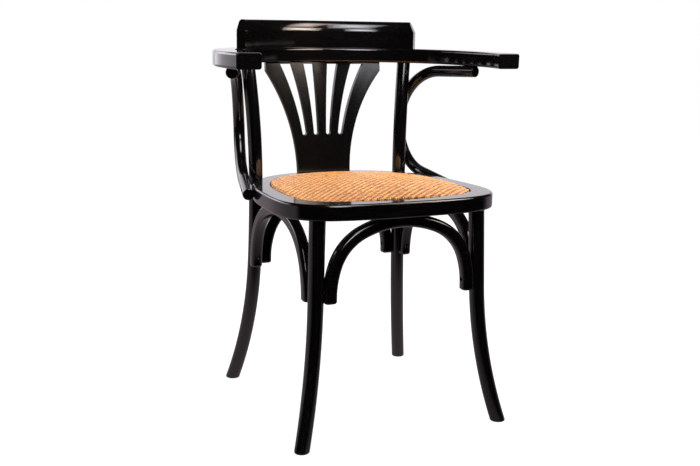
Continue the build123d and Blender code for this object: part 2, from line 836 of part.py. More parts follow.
nodes = {
    "seat_ring": [ring],
    "seat_board": [seat_board() - board_screw_holes],
    "seat_pad": [seat_pad()],
    "rattan_cover": [rattan_cover()],
    "front_leg_left": [mirrored(leg)],
    "front_leg_right": [leg],
    "rear_post_left": [mirrored(post)],
    "rear_post_right": [post],
    **{name: [brace] for name, brace in braces.items()},
    "back_rail": [back_rail],
    "left_arm": [mirrored(arm)],
    "right_arm": [arm],
    "crest_board": [crest],
    "back_splat": [splat],
    "left_arm_bow": [mirrored(bow)],
    "right_arm_bow": [bow],
    "arch_leg_screws": fastened(leg_screw_places, screw(arch_leg_screw_length)),
    "arch_seat_screws": fastened(seat_screw_places, screw(arch_seat_screw_length)),
    "seat_board_screws": fastened(board_screw_places(), screw(board_screw_length)),
    "seat_bolts": both_sides([bolt_place() * bolt()]),
    "bow_arm_screws": both_sides([arm_screw]),
    "bow_seat_screws": both_sides([ring_screw]),
    "arm_joint_dowels": both_sides(joint_dowels),
    "crest_dowels": crest_dowels,
}

# The origin stands on the floor under the middle of the whole chair

boxes = [solid.bounding_box() for solids in nodes.values() for solid in solids]
middle_y = (min(box.min.Y for box in boxes) + max(box.max.Y for box in boxes)) / 2

os.makedirs("parts", exist_ok=True)
for name, solids in nodes.items():
    placed = [Pos(0, -middle_y, 0) * solid for solid in solids]
    export_step(placed[0] if len(placed) == 1 else Compound(children=placed), f"parts/{name}.step")
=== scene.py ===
import logging
import math
from dataclasses import dataclass, replace
from enum import Enum
from typing import Union

import bpy
import numpy as np
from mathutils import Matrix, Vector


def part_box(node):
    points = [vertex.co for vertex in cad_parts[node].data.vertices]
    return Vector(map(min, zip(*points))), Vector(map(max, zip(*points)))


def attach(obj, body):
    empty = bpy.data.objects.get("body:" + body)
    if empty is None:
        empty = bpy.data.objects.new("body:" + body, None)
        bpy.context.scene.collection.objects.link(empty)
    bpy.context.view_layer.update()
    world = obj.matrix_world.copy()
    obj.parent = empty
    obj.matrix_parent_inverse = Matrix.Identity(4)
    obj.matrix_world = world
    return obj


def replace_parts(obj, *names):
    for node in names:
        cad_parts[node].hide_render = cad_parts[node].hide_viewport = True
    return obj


# Bentwood captain's armchair with a woven rattan seat: its finishes, its weave and its studio.
# Metres. X is across the chair, Y points to its back, Z is up from the floor.

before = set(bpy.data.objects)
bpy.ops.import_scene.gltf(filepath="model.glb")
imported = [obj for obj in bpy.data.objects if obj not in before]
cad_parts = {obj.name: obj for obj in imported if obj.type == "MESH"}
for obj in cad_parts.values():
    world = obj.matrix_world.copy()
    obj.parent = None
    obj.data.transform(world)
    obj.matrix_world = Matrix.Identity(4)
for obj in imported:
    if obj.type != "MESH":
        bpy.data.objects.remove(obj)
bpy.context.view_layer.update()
BODY = "root"
log = logging.getLogger("armchair")

Colour = tuple[float, float, float, float]
Triple = tuple[float, float, float]
Span = tuple[float, float]

WHITE: Colour = (1.0, 1.0, 1.0, 1.0)
BLACK: Colour = (0.0, 0.0, 0.0, 1.0)


class Grain(Enum):
    """Direction in which a piece's timber runs, as the turn that lays it along the pattern's first axis."""

    ACROSS = (0.0, 0.0, 0.0)
    BACKWARD = (0.0, 0.0, -math.pi / 2)
    UPRIGHT = (0.0, math.pi / 2, 0.0)


class Shade:
    """An output socket that takes part in Python arithmetic; each operation adds a Math node."""

    def __init__(self, graph: "Graph", socket: bpy.types.NodeSocket) -> None:
        """Keeps the graph that the socket belongs to."""
        self.graph = graph
        self.socket = socket

    def _math(self, operation: str, first: "Value", second: "Value") -> "Shade":
        """Adds a Math node for one operation on two values."""
        return self.graph.out("ShaderNodeMath", 0, {"operation": operation}, {0: first, 1: second})

    def __add__(self, other: "Value") -> "Shade":
        """Sum with a value."""
        return self._math("ADD", self, other)

    def __sub__(self, other: "Value") -> "Shade":
        """Difference from a value."""
        return self._math("SUBTRACT", self, other)

    def __rsub__(self, other: "Value") -> "Shade":
        """A value less this one."""
        return self._math("SUBTRACT", other, self)

    def __mul__(self, other: "Value") -> "Shade":
        """Product with a value."""
        return self._math("MULTIPLY", self, other)

    def __pow__(self, other: "Value") -> "Shade":
        """Power of this value."""
        return self._math("POWER", self, other)

    __radd__ = __add__
    __rmul__ = __mul__


Value = Union[float, Triple, Colour, Shade]


class Graph:
    """Node graph of one material or of the world."""

    def __init__(self, tree: bpy.types.NodeTree) -> None:
        """Starts from an empty graph."""
        self.tree = tree
        tree.nodes.clear()

    def node(self, kind: str, settings: dict | None = None, inputs: dict | None = None) -> bpy.types.Node:
        """Adds any node.

        Args:
            kind: the node's type.
            settings: its own settings, set first.
            inputs: values or links of its sockets, by name or number.

        Returns:
            The new node.
        """
        made = self.tree.nodes.new(kind)
        for name, setting in (settings or {}).items():
            setattr(made, name, setting)
        for key, value in (inputs or {}).items():
            if isinstance(value, Shade):
                self.tree.links.new(value.socket, made.inputs[key])
            else:
                made.inputs[key].default_value = value
        return made

    def out(
        self, kind: str, output: Union[int, str], settings: dict | None = None, inputs: dict | None = None
    ) -> Shade:
        """Adds any node and gives one of its outputs."""
        return Shade(self, self.node(kind, settings, inputs).outputs[output])

    def axes(self, coordinates: str) -> tuple[Shade, Shade, Shade]:
        """Coordinates of one kind as three numbers: across, backward and upward.

        Args:
            coordinates: the kind, as the Texture Coordinate node names it.

        Returns:
            One number for each axis.
        """
        where = self.out("ShaderNodeTexCoord", coordinates)
        parts = self.node("ShaderNodeSeparateXYZ", None, {0: where})
        return tuple(Shade(self, parts.outputs[axis]) for axis in "XYZ")

    def rays(self) -> tuple[Shade, Shade, Shade]:
        """Tells what kind of ray looks at the surface.

        Returns:
            Three numbers, 1 for a camera ray, a glossy ray and a transmission ray.
        """
        path = self.node("ShaderNodeLightPath")
        kinds = ("Is Camera Ray", "Is Glossy Ray", "Is Transmission Ray")
        return tuple(Shade(self, path.outputs[kind]) for kind in kinds)

    def noise(self, grain: Grain, scale: Triple, detail: float = 2.0) -> Shade:
        """Soft random pattern between 0 and 1 on object coordinates, drawn out along the grain.

        Args:
            grain: how the timber or the strands run.
            scale: repeats per metre on each axis, first along the grain.
            detail: how many finer layers are added.

        Returns:
            The pattern.
        """
        where = self.out("ShaderNodeTexCoord", "Object")
        turned = self.out("ShaderNodeMapping", 0, None, {"Vector": where, "Rotation": grain.value})
        place = self.out("ShaderNodeVectorMath", 0, {"operation": "MULTIPLY"}, {0: turned, 1: scale})
        return self.out("ShaderNodeTexNoise", 0, None, {"Vector": place, "Scale": 1.0, "Detail": detail})

    def step(self, value: Shade, span: Span) -> Shade:
        """Smooth step from 0 at the start of a span to 1 at its end."""
        inputs = {"Value": value, "From Min": span[0], "From Max": span[1]}
        return self.out("ShaderNodeMapRange", 0, {"interpolation_type": "SMOOTHSTEP"}, inputs)

    def mix(self, factor: Value, first: Value, second: Value) -> Shade:
        """Blend of two colours."""
        return self.out("ShaderNodeMix", 2, {"data_type": "RGBA"}, {0: factor, 6: first, 7: second})

    def attribute(self, name: str) -> Shade:
        """A number kept on each point of the piece's mesh."""
        return self.out("ShaderNodeAttribute", "Fac", {"attribute_name": name})

    def bump(self, height: Shade, strength: float, distance: float, normal: Shade | None = None) -> Shade:
        """Normal tilted by a height pattern.

        Args:
            height: the pattern.
            strength: share of the tilt that is used.
            distance: height, in metres, of a pattern value of 1.
            normal: another tilt under this one, if there is one.

        Returns:
            The tilted normal.
        """
        inputs = {"Height": height, "Strength": strength, "Distance": distance}
        if normal:
            inputs["Normal"] = normal
        return self.out("ShaderNodeBump", 0, None, inputs)

    def rise_above(self, height: float) -> Shade:
        """How far a point of the piece is above a height, or 0 below it."""
        _, _, upward = self.axes("Object")
        return self.out("ShaderNodeMath", 0, {"operation": "MAXIMUM"}, {0: upward - height, 1: 0.0})

    def surface(self, inputs: dict) -> None:
        """Ends the graph in a Principled surface."""
        shader = self.out("ShaderNodeBsdfPrincipled", 0, None, inputs)
        self.node("ShaderNodeOutputMaterial", None, {"Surface": shader})


def new_material(name: str) -> tuple[bpy.types.Material, Graph]:
    """Makes an empty material.

    Args:
        name: the material's name.

    Returns:
        The material and its graph.
    """
    material = bpy.data.materials.new(name)
    material.use_nodes = True
    return material, Graph(material.node_tree)


@dataclass(frozen=True)
class BlackLacquer:
    """Black gloss lacquer that has sunk a little into open grain."""

    name: str
    coat: float
    coat_roughness: float
    coat_index: float = 1.7
    bend_height: float = 0.0
    bend: float = 0.0
    relief: float = 0.16
    relief_depth: float = 0.0004
    streak_relief: float = 0.5
    black: Colour = (0.0008, 0.0007, 0.0008, 1.0)
    grain_brown: Colour = (0.0036, 0.0024, 0.0023, 1.0)
    brown_share: float = 0.8
    fibre_scale: Triple = (11.0, 330.0, 330.0)
    pore_scale: Triple = (70.0, 1300.0, 1300.0)
    cloud_scale: Triple = (5.0, 21.0, 21.0)
    streak_span: Span = (0.42, 0.68)
    pore_span: Span = (0.55, 0.72)
    roughness: float = 0.3
    cloud_dulling: float = 0.16
    pore_dulling: float = 0.1
    sheen_under_coat: float = 0.025

    def build(self, grain: Grain) -> bpy.types.Material:
        """Long fibres tint the black and fine pores dent it, under a clear coat.

        Above the bend height the face turns back as the square of the rise, times the bend.

        Args:
            grain: how the timber runs in the piece.

        Returns:
            The material.
        """
        material, graph = new_material(f"{self.name}_{grain.name.lower()}")
        streaks = graph.step(graph.noise(grain, self.fibre_scale, detail=4.0), self.streak_span)
        pores = graph.step(graph.noise(grain, self.pore_scale), self.pore_span)
        clouds = graph.noise(grain, self.cloud_scale)
        dents = streaks * self.streak_relief - pores
        turned = None
        if self.bend:
            turned = graph.bump(graph.rise_above(self.bend_height) ** 2.0 * -self.bend, 1.0, 1.0)
        graph.surface({
            "Base Color": graph.mix(streaks * self.brown_share, self.black, self.grain_brown),
            "Roughness": self.roughness + self.cloud_dulling * clouds + self.pore_dulling * pores,
            "Specular IOR Level": self.sheen_under_coat,
            "Coat Weight": self.coat,
            "Coat Roughness": self.coat_roughness,
            "Coat IOR": self.coat_index,
            "Normal": graph.bump(dents, self.relief, self.relief_depth, turned),
        })
        return material


@dataclass(frozen=True)
class SplitCane:
    """Honey-coloured split cane: fine fibres along each strand, with painted shade at its edges and where it
    dives.
    """

    deep: Colour = (0.66, 0.22, 0.045, 1.0)
    honey: Colour = (0.97, 0.46, 0.125, 1.0)
    shadow: Colour = (0.12, 0.035, 0.008, 1.0)
    fibre_scale: Triple = (60.0, 1500.0, 1500.0)
    patch_scale: Triple = (34.0, 120.0, 120.0)
    speck_scale: Triple = (130.0, 240.0, 240.0)
    tint_share: float = 0.35
    fibre_share: float = 0.35
    patch_share: float = 0.4
    honey_span: Span = (0.3, 0.75)
    speck_span: Span = (0.56, 0.68)
    shade_darkening: float = 0.34
    speck_darkening: float = 0.75
    roughness: float = 0.3
    patch_dulling: float = 0.22
    coat_roughness: float = 0.2
    relief: float = 0.12
    relief_depth: float = 0.0003

    def build(self, grain: Grain) -> bpy.types.Material:
        """Strand tint and fibres choose between two honeys; painted shade darkens the edges and the dips,
        and a few specks go dark.

        Args:
            grain: how the strands run.

        Returns:
            The material.
        """
        material, graph = new_material(f"split_cane_{grain.name.lower()}")
        fibres = graph.noise(grain, self.fibre_scale, detail=3.0)
        patches = graph.noise(grain, self.patch_scale)
        specks = graph.step(graph.noise(grain, self.speck_scale, detail=1.0), self.speck_span)
        tint = graph.attribute("tint")
        tone = self.tint_share * tint + self.fibre_share * fibres + self.patch_share * patches
        body = graph.mix(graph.step(tone, self.honey_span), self.deep, self.honey)
        # Painted shade at the strands' edges and where they dive, together with random dark specks.
        shade_and_specks = graph.attribute("painted_shade") ** 2.0 * self.shade_darkening + specks * self.speck_darkening
        graph.surface({
            "Base Color": graph.mix(shade_and_specks, body, self.shadow),
            "Roughness": self.roughness + self.patch_dulling * patches,
            "Coat Weight": 1.0,
            "Coat Roughness": self.coat_roughness,
            "Normal": graph.bump(fibres, self.relief, self.relief_depth),
        })
        return material


@dataclass(frozen=True)
class BareTimber:
    """Bare pale timber with soft growth bands and fine fibres."""

    name: str
    pale: Colour
    dark: Colour
    band_width: float
    band_length_ratio: float = 25.0
    fibre_scale: Triple = (35.0, 900.0, 900.0)
    band_share: float = 0.7
    fibre_share: float = 0.3
    pale_span: Span = (0.35, 0.65)
    roughness: float = 0.55
    fibre_dulling: float = 0.15
    relief: float = 0.2
    relief_depth: float = 0.0003

    def build(self, grain: Grain) -> bpy.types.Material:
        """Stretched noise gives bands, and finer noise the fibres over them.

        Args:
            grain: how the timber runs.

        Returns:
            The material.
        """
        material, graph = new_material(f"{self.name}_{grain.name.lower()}")
        across = 1.0 / self.band_width
        bands = graph.noise(grain, (across / self.band_length_ratio, across, across), detail=3.0)
        fibres = graph.noise(grain, self.fibre_scale)
        tone = graph.step(bands * self.band_share + fibres * self.fibre_share, self.pale_span)
        graph.surface({
            "Base Color": graph.mix(tone, self.dark, self.pale),
            "Roughness": self.roughness + self.fibre_dulling * fibres,
            "Normal": graph.bump(fibres, self.relief, self.relief_depth),
        })
        return material


@dataclass(frozen=True)
class PlatedSteel:
    """Dark plated steel with faint turning marks."""

    bright: Colour = (0.3, 0.29, 0.28, 1.0)
    dark: Colour = (0.13, 0.125, 0.12, 1.0)
    mark_scale: Triple = (900.0, 900.0, 900.0)
    bright_span: Span = (0.35, 0.65)
    roughness: float = 0.28
    mark_dulling: float = 0.2

    def build(self) -> bpy.types.Material:
        """Fine noise varies the plating's tone and roughness.

        Returns:
            The material.
        """
        material, graph = new_material("plated_steel")
        marks = graph.noise(Grain.ACROSS, self.mark_scale, detail=3.0)
        graph.surface({
            "Base Color": graph.mix(graph.step(marks, self.bright_span), self.dark, self.bright),
            "Metallic": 1.0,
            "Roughness": self.roughness + self.mark_dulling * marks,
        })
        return material


@dataclass(frozen=True)
class PressedFelt:
    """Pressed felt with matted fibres."""

    pale: Colour = (0.3, 0.17, 0.08, 1.0)
    dark: Colour = (0.12, 0.06, 0.025, 1.0)
    tuft_scale: Triple = (160.0, 160.0, 160.0)
    hair_scale: Triple = (1400.0, 500.0, 900.0)
    pale_span: Span = (0.35, 0.65)
    roughness: float = 0.85
    hair_dulling: float = 0.1
    relief: float = 0.5
    relief_depth: float = 0.0008

    def build(self) -> bpy.types.Material:
        """Two sizes of noise mat together in equal parts.

        Returns:
            The material.
        """
        material, graph = new_material("pressed_felt")
        tufts = graph.noise(Grain.ACROSS, self.tuft_scale, detail=3.0)
        hairs = graph.noise(Grain.ACROSS, self.hair_scale, detail=3.0)
        matted = tufts * 0.5 + hairs * 0.5
        graph.surface({
            "Base Color": graph.mix(graph.step(matted, self.pale_span), self.dark, self.pale),
            "Roughness": self.roughness + self.hair_dulling * hairs,
            "Normal": graph.bump(matted, self.relief, self.relief_depth),
        })
        return material


def into_scene(name: str, data: bpy.types.ID) -> bpy.types.Object:
    """Adds an object to the scene.

    Args:
        name: the object's name.
        data: its mesh, lamp or camera.

    Returns:
        The object.
    """
    added = bpy.data.objects.new(name, data)
    bpy.context.scene.collection.objects.link(added)
    return added


def axes_matrix(right: np.ndarray, up: np.ndarray, back: np.ndarray, place: np.ndarray) -> list[list[float]]:
    """Matrix of a camera or a lamp, which look against their back axis.

    Args:
        right: its first axis.
        up: its second axis.
        back: its third axis.
        place: where it stands.

    Returns:
        The matrix's columns, in the order in which Blender takes them.
    """
    matrix = np.eye(4)
    matrix[:3] = np.stack([right, up, back, place], axis=1)
    return matrix.T.tolist()


def finished_piece(
    name: str, mesh: bpy.types.Mesh, material: bpy.types.Material
) -> bpy.types.Object:
    """Puts a mesh into the scene as a smooth piece that rides on the chair.

    Args:
        name: the piece's name.
        mesh: its mesh, already in place.
        material: its finish.

    Returns:
        The piece.
    """
    mesh.polygons.foreach_set("use_smooth", np.ones(len(mesh.polygons), bool))
    mesh.materials.append(material)
    piece = into_scene(name, mesh)
    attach(piece, BODY)
    log.info("%s: %d faces", name, len(mesh.polygons))
    return piece


def point_numbers(mesh: bpy.types.Mesh, name: str, values: np.ndarray) -> None:
    """Keeps one number for each point of a mesh."""
    attribute = mesh.attributes.new(name, "FLOAT", "POINT")
    attribute.data.foreach_set("value", values.astype(np.float32).ravel())


@dataclass(frozen=True)
class SeatOutline:
    """Outline of the seat: a rounder curve behind its widest line and a squarer one in front of it."""

    widest_y: float
    half_width: float = 0.22
    front_reach: float = 0.196
    back_reach: float = 0.246
    front_fullness: float = 3.6
    back_fullness: float = 2.45
    rear_narrowing: float = 0.06
    samples: int = 4001
    least_share: float = 1e-6

    def curve(self, along: np.ndarray) -> tuple[np.ndarray, np.ndarray]:
        """Reach and fullness of the curve that holds on each side of the widest line.

        Args:
            along: distances behind the widest line, negative in front of it.

        Returns:
            The reach and the fullness at each distance.
        """
        behind = along > 0
        reach = np.where(behind, self.back_reach, self.front_reach)
        return reach, np.where(behind, self.back_fullness, self.front_fullness)

    def narrowing(self, along: np.ndarray, reach: np.ndarray) -> np.ndarray:
        """Factor on the width that falls evenly from front to back."""
        return 1 - self.rear_narrowing * along / reach

    def half_width_at(self, y: np.ndarray, inset: float) -> np.ndarray:
        """Half width at places along the chair: w (1 - |y/r|^n)^(1/n), narrowed in step with y.

        Args:
            y: places along the chair.
            inset: how far the outline is set in from the ring's outside.

        Returns:
            The half width at each place.
        """
        along = y - self.widest_y
        reach, fullness = self.curve(along)
        share = np.clip(np.abs(along) / (reach - inset), 0.0, 1.0)
        full = (1 - share**fullness) ** (1 / fullness)
        return (self.half_width - inset) * full * self.narrowing(along, reach)

    def ends_at(self, x: np.ndarray, inset: float) -> tuple[np.ndarray, np.ndarray]:
        """Ends of the outline at places across the chair, by inverting the half width on each side.

        Args:
            x: places across the chair.
            inset: how far the outline is set in from the ring's outside.

        Returns:
            The front and the back of the outline at each place.
        """
        front_end = self.widest_y - self.front_reach + inset
        back_end = self.widest_y + self.back_reach - inset
        y = np.linspace(front_end, back_end, self.samples)
        half = self.half_width_at(y, inset)
        peak = int(half.argmax())
        front = np.interp(np.abs(x), half[: peak + 1], y[: peak + 1])
        back = np.interp(np.abs(x), half[peak:][::-1], y[peak:][::-1])
        return front, back

    def edge_distance(self, x: np.ndarray, y: np.ndarray, inset: float) -> np.ndarray:
        """Rough distance in from the outline: the radial share that is left, times the distance out.

        Args:
            x: places across the chair.
            y: places along the chair.
            inset: how far the outline is set in from the ring's outside.

        Returns:
            The distance at each place, 0 outside the outline.
        """
        along = y - self.widest_y
        reach, fullness = self.curve(along)
        wide = (self.half_width - inset) * self.narrowing(along, reach)
        powers = np.abs(x / wide) ** fullness + np.abs(along / (reach - inset)) ** fullness
        share = np.maximum(powers ** (1 / fullness), self.least_share)
        return np.hypot(x, along) * np.clip(1 / share - 1, 0.0, None)

    def rim(self, angle: np.ndarray, inset: float) -> tuple[np.ndarray, np.ndarray]:
        """Points of the outline: cosine and sine to the power 2/n with their signs, narrowed in step with y.

        Args:
            angle: angles round the middle of the widest line.
            inset: how far the outline is set in from the ring's outside.

        Returns:
            The places across and along the chair.
        """
        cosine, sine = np.cos(angle), np.sin(angle)
        reach, fullness = self.curve(sine)
        along = (reach - inset) * np.sign(sine) * np.abs(sine) ** (2 / fullness)
        x = (self.half_width - inset) * np.sign(cosine) * np.abs(cosine) ** (2 / fullness)
        return x * self.narrowing(along, reach), self.widest_y + along


@dataclass
class WovenSeat:
    """Crowned rattan panel: two sets of split-cane strands in a two-over, two-under twill, on a felt pad."""

    outline: SeatOutline
    inset: float = 0.0356
    crown_radius: float = 1.75
    edge_round: float = 0.005
    pitch: float = 0.0039
    strand_width: float = 0.0034
    strand_crown: float = 0.0003
    strand_belly: float = 0.0003
    shortest_strand: float = 0.03
    lift: float = 0.0006
    float_sharpness: float = 2.4
    wander: float = 0.00014
    wander_length: float = 0.019
    tail: float = 0.007
    end_places: tuple[float, ...] = (0.0, 0.0, 0.0007, 0.0017, 0.0031)
    end_stretch: float = 0.005
    run_samples: int = 230
    pad_gap: float = 0.0031
    pad_turns: int = 96
    pad_rings: int = 24
    pad_first_ring: float = 0.04
    pad_underside: tuple[float, ...] = (1.0, 0.9, 0.5, 0.1)
    seed: int = 11

    def __post_init__(self) -> None:
        """Reads the panel's height, ends and middle from the frame."""
        low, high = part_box("rattan_cover")
        self.top = high.z
        self.middle_y = (low.y + high.y) / 2
        self.half_depth = (high.y - low.y) / 2
        self.half_breadth = high.x

    def surface_height(self, x: np.ndarray, y: np.ndarray, inset: float) -> np.ndarray:
        """Height of the panel: a shallow sphere, rounded down by a quarter circle at the outline.

        Args:
            x: places across the chair.
            y: places along the chair.
            inset: how far the outline is set in from the ring's outside.

        Returns:
            The height at each place.
        """
        flat = x**2 + (y - self.middle_y) ** 2
        dome = self.top - self.crown_radius + np.sqrt(self.crown_radius**2 - flat)
        short = np.clip(self.edge_round - self.outline.edge_distance(x, y, inset), 0.0, self.edge_round)
        return dome - self.edge_round + np.sqrt(self.edge_round**2 - short**2)

    def run_places(self, length: np.ndarray) -> np.ndarray:
        """Sample places along strands: close together at both ends and even between them.

        Args:
            length: the strands' lengths.

        Returns:
            One row of places for each strand.
        """
        ends = np.array(self.end_places)
        start = np.broadcast_to(ends, (len(length), len(ends)))
        even = np.linspace(0.0, 1.0, self.run_samples)
        inner = self.end_stretch + (length[:, None] - 2 * self.end_stretch) * even
        finish = length[:, None] - ends[::-1]
        return np.concatenate([start, inner, finish], axis=1)

    def strand_ends(
        self, warp: bool, rng: np.random.Generator
    ) -> tuple[np.ndarray, np.ndarray, np.ndarray, np.ndarray]:
        """Spaces one set of strands evenly from the middle, each a little aside, and cuts it to the outline.

        Args:
            warp: whether the strands run from front to back.
            rng: source of the small irregularities.

        Returns:
            Each strand's number from the middle, its place to the side and both its ends.
        """
        extent = self.half_breadth if warp else self.half_depth
        middle = 0.0 if warp else self.middle_y
        count = int(extent / self.pitch)
        order = np.arange(-count, count + 1)
        side = middle + order * self.pitch + rng.uniform(-self.wander, self.wander, len(order))
        if warp:
            low, high = self.outline.ends_at(side, self.inset)
        else:
            high = self.outline.half_width_at(side, self.inset)
            low = -high
        kept = high - low > self.shortest_strand
        return order[kept], side[kept], low[kept], high[kept]

    def centre_lines(
        self, warp: bool, rng: np.random.Generator
    ) -> tuple[np.ndarray, np.ndarray, np.ndarray]:
        """Centre-lines of one set of strands.

        Each strand rides the panel and rises and falls as tanh(sharpness sin(phase)), where the phase goes
        round once in four crossings and steps on by one crossing from strand to strand, so the floats make
        diagonals. Its two end points go straight down as a tail.

        Args:
            warp: whether the strands run from front to back.
            rng: source of the small irregularities.

        Returns:
            Points of each strand, its tint, and how deep each point lies in the weave, from 0 to 1.
        """
        order, side, low, high = self.strand_ends(warp, rng)
        along = low[:, None] + self.run_places(high - low)
        swing = rng.uniform(0.0, 2 * math.pi, (len(order), 1))
        aside = side[:, None] + self.wander * np.sin(along / self.wander_length + swing)
        x, y = (aside, along) if warp else (along, aside)
        crossing = (along - (self.middle_y if warp else 0.0)) / self.pitch
        turn = order[:, None] - crossing if warp else crossing - order[:, None]
        phase = math.pi / 2 * (turn + 0.5)
        wave = np.tanh(self.float_sharpness * np.sin(phase)) * (1.0 if warp else -1.0)
        z = self.surface_height(x, y, self.inset) - self.lift - self.strand_crown + self.lift * wave
        z[:, [0, -1]] -= self.tail
        return np.stack([x, y, z], axis=2), rng.uniform(0.0, 1.0, len(order)), (1 - wave) / 2

    def strands(self, name: str, warp: bool, rng: np.random.Generator) -> bpy.types.Object:
        """Carries a crowned four-sided section along every strand of one set and closes its ends.

        Args:
            name: the piece's name.
            warp: whether the strands run from front to back.
            rng: source of the small irregularities.

        Returns:
            The piece.
        """
        lines, tint, depth = self.centre_lines(warp, rng)
        number, samples, _ = lines.shape
        across = np.array([1.0, 0.0, 0.0]) if warp else np.array([0.0, -1.0, 0.0])
        ahead = np.gradient(lines, axis=1)
        up = np.cross(np.broadcast_to(across, ahead.shape), ahead)
        up /= np.linalg.norm(up, axis=2, keepdims=True)
        half = self.strand_width / 2
        offsets = half * np.array([-1.0, 0.0, 1.0, 0.0])
        rises = np.array([0.0, self.strand_crown, 0.0, -self.strand_belly])
        sides = len(offsets)
        points = lines[:, :, None] + offsets[:, None] * across + rises[:, None] * up[:, :, None]
        base = np.arange(number * samples * sides).reshape(number, samples, sides)
        following = np.roll(base, -1, axis=2)
        corners = [base[:, :-1], base[:, 1:], following[:, 1:], following[:, :-1]]
        quads = np.stack(corners, axis=3).reshape(-1, 4)
        caps = np.concatenate([base[:, 0], base[:, -1, ::-1]])
        mesh = bpy.data.meshes.new(name)
        mesh.from_pydata(points.reshape(-1, 3), [], quads.tolist() + caps.tolist())
        # Painted shade: the strands' sides and underside, and the stretches where they dive under the
        # crossing strands, are marked for darkening.
        painted_shade = np.array([1.0, 0.0, 1.0, 1.0])
        point_numbers(mesh, "tint", np.broadcast_to(tint[:, None, None], base.shape))
        point_numbers(mesh, "painted_shade", np.maximum(painted_shade, depth[:, :, None]))
        grain = Grain.BACKWARD if warp else Grain.ACROSS
        return finished_piece(name, mesh, SplitCane().build(grain))

    def pad(self) -> bpy.types.Object:
        """Crowned felt pad: the outline drawn in, ring by ring, to a pole over the dome and one below.

        The rings' shares of the outline go as a sine over the dome, and the underside is flat.

        Returns:
            The piece.
        """
        low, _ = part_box("seat_pad")
        inset = self.inset + self.pad_gap
        angle = np.linspace(0.0, 2 * math.pi, self.pad_turns, endpoint=False)
        dome = np.sin(np.linspace(self.pad_first_ring, 1.0, self.pad_rings) * math.pi / 2)
        share = np.concatenate([dome, self.pad_underside])[:, None]
        rim_x, rim_y = self.outline.rim(angle, inset)
        x = share * rim_x
        y = self.middle_y + share * (rim_y - self.middle_y)
        z = self.surface_height(x, y, inset) - self.pad_gap
        z[self.pad_rings:] = low.z
        rings, turns = x.shape
        points = np.stack([x, y, z], axis=2).reshape(-1, 3)
        poles = [(0.0, self.middle_y, self.top - self.pad_gap), (0.0, self.middle_y, low.z)]
        base = np.arange(rings * turns).reshape(rings, turns)
        onward = np.roll(base, -1, axis=1)
        quads = np.stack([base[:-1], base[1:], onward[1:], onward[:-1]], axis=2).reshape(-1, 4)
        crown = np.stack([base[0], onward[0], np.full(turns, len(points))], axis=1)
        floor = np.stack([onward[-1], base[-1], np.full(turns, len(points) + 1)], axis=1)
        mesh = bpy.data.meshes.new("felt_pad")
        faces = quads.tolist() + crown.tolist() + floor.tolist()
        mesh.from_pydata(np.concatenate([points, poles]), [], faces)
        piece = finished_piece("felt_pad", mesh, PressedFelt().build())
        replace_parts(piece, "seat_pad")
        return piece

    def build(self) -> None:
        """Makes the pad and both sets of strands, which stand for the cover."""
        rng = np.random.default_rng(self.seed)
        self.pad()
        for name, warp in (("cane_warp", True), ("cane_weft", False)):
            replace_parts(self.strands(name, warp, rng), "rattan_cover")


@dataclass(frozen=True)
class TimberFrame:
    """Lacquered bentwood pieces by the way their grain runs, and the bare and metal pieces inside."""

    across: tuple[str, ...] = ("seat_ring", "front_arch", "rear_arch", "back_rail", "crest_board")
    backward: tuple[str, ...] = ("left_arch", "right_arch", "left_arm", "right_arm")
    upright: tuple[str, ...] = (
        "front_leg_left", "front_leg_right", "rear_post_left", "rear_post_right", "left_arm_bow",
        "right_arm_bow",
    )
    satin: tuple[str, ...] = ("back_splat",)
    steel: tuple[str, ...] = (
        "arch_leg_screws", "arch_seat_screws", "seat_board_screws", "seat_bolts", "bow_arm_screws",
        "bow_seat_screws",
    )
    dowels: tuple[str, ...] = ("arm_joint_dowels", "crest_dowels")
    board: tuple[str, ...] = ("seat_board",)
    lacquer: BlackLacquer = BlackLacquer("black_lacquer", coat=1.0, coat_roughness=0.08)
    rubbed: BlackLacquer = BlackLacquer(
        "rubbed_lacquer", coat=0.55, coat_roughness=0.13, bend_height=0.6, bend=0.9, relief=0.4
    )
    plywood: BareTimber = BareTimber(
        "plywood", pale=(0.62, 0.45, 0.28, 1.0), dark=(0.42, 0.27, 0.15, 1.0), band_width=0.02
    )
    beech: BareTimber = BareTimber(
        "beech", pale=(0.68, 0.5, 0.34, 1.0), dark=(0.55, 0.37, 0.23, 1.0), band_width=0.004
    )

    def dress(self) -> None:
        """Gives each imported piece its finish."""
        groups = (
            (self.across, self.lacquer.build(Grain.ACROSS)),
            (self.backward, self.lacquer.build(Grain.BACKWARD)),
            (self.upright, self.lacquer.build(Grain.UPRIGHT)),
            (self.satin, self.rubbed.build(Grain.UPRIGHT)),
            (self.steel, PlatedSteel().build()),
            (self.dowels, self.beech.build(Grain.ACROSS)),
            (self.board, self.plywood.build(Grain.ACROSS)),
        )
        for names, material in groups:
            for name in names:
                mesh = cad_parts[name].data
                mesh.materials.clear()
                mesh.materials.append(material)
                log.info("%s: %s", name, material.name)


@dataclass(frozen=True)
class Lamp:
    """One soft box, aimed at the middle of the chair, that lights matt surfaces or shows in gloss."""

    name: str
    place: Triple
    width: float
    height: float
    watts: float
    in_gloss: bool
    colour: Triple = (1.0, 1.0, 1.0)


